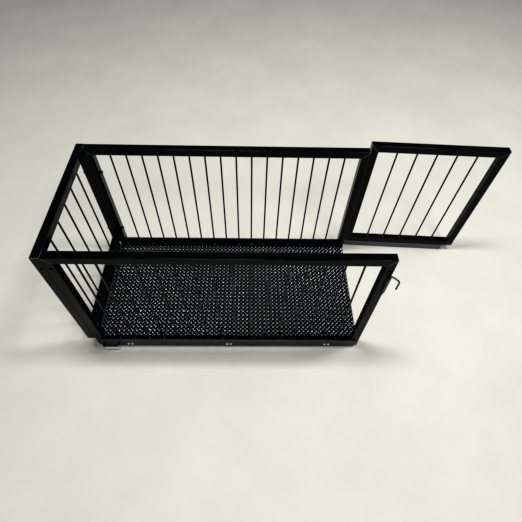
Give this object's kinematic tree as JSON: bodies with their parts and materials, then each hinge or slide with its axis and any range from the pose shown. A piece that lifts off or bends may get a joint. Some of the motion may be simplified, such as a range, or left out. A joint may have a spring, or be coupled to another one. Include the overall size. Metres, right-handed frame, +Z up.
{
  "type": "kennel cage",
  "caption": "Open-topped cage of square tube and round bars with a wire floor, a hinged end door and a lift-and-turn latch.",
  "frame": {"origin": "middle of the underside of the front panel's bottom rail", "axes": "+X along the cage towards the door, +Y from the front panel to the back panel, +Z up"},
  "size_m": [1.3956, 0.504, 0.505],
  "materials": {
    "black_gloss_paint": "gloss",
    "grey_painted_steel": "satin",
    "black_coated_wire": "satin",
    "zinc_plated_steel": "satin",
    "plain_steel": "satin"
  },
  "bodies": {
    "cage": {"back_bars": "black_gloss_paint", "back_bottom_rail": "black_gloss_paint", "back_left_post": "black_gloss_paint", "back_right_post": "black_gloss_paint", "back_strip": "grey_painted_steel", "back_strip_screws": "zinc_plated_steel", "back_tie_loop": "black_gloss_paint", "back_top_rail": "black_gloss_paint", "corner_screws": "black_gloss_paint", "end_back_post": "black_gloss_paint", "end_bars": "black_gloss_paint", "end_bottom_rail": "black_gloss_paint", "end_front_post": "black_gloss_paint", "end_skirt": "black_gloss_paint", "end_top_rail": "black_gloss_paint", "floor_back_bar": "black_gloss_paint", "floor_cross_bars": "black_gloss_paint", "floor_front_bar": "black_gloss_paint", "floor_left_lip": "grey_painted_steel", "floor_right_bar": "black_gloss_paint", "floor_sheet": "black_gloss_paint", "floor_wires_lower": "black_coated_wire", "floor_wires_upper": "black_coated_wire", "front_bars": "black_gloss_paint", "front_bottom_rail": "black_gloss_paint", "front_left_post": "black_gloss_paint", "front_right_post": "black_gloss_paint", "front_strip": "grey_painted_steel", "front_strip_screws": "zinc_plated_steel", "front_tie_loop": "black_gloss_paint", "front_top_rail": "black_gloss_paint", "latch_sleeve": "zinc_plated_steel", "lower_frame_knuckle": "black_gloss_paint", "lower_hinge_pin": "plain_steel", "panel_bolt_nuts": "black_gloss_paint", "panel_bolt_washers": "black_gloss_paint", "panel_bolts": "black_gloss_paint", "upper_frame_knuckle": "black_gloss_paint", "upper_hinge_pin": "plain_steel"},
    "door": {"door_bars": "black_gloss_paint", "door_bottom_rail": "black_gloss_paint", "door_corner_screws": "black_gloss_paint", "door_free_stile": "black_gloss_paint", "door_hinge_stile": "black_gloss_paint", "door_sill_bar": "grey_painted_steel", "door_top_rail": "black_gloss_paint", "latch_keeper": "black_gloss_paint", "lower_door_knuckle": "black_gloss_paint", "upper_door_knuckle": "black_gloss_paint"},
    "latch_turner": {"latch_collar": "zinc_plated_steel"},
    "latch_hook": {"latch_rod": "black_gloss_paint"}
  },
  "joints": [
    {"name": "door_hinge", "type": "hinge", "parent": "cage", "child": "door", "pos_m": [0.4515, 0.4405, 0.25], "axis": [0, 0, 1], "range_deg": [-87.2, 92.8]},
    {"name": "latch_turn", "type": "hinge", "parent": "cage", "child": "latch_turner", "pos_m": [0.445, -0.017, 0.433], "axis": [0, 0, 1], "range_deg": [-130, 42]},
    {"name": "latch_lift", "type": "slide", "parent": "latch_turner", "child": "latch_hook", "axis": [0, 0, 1], "range_m": [0, 0.03]}
  ]
}
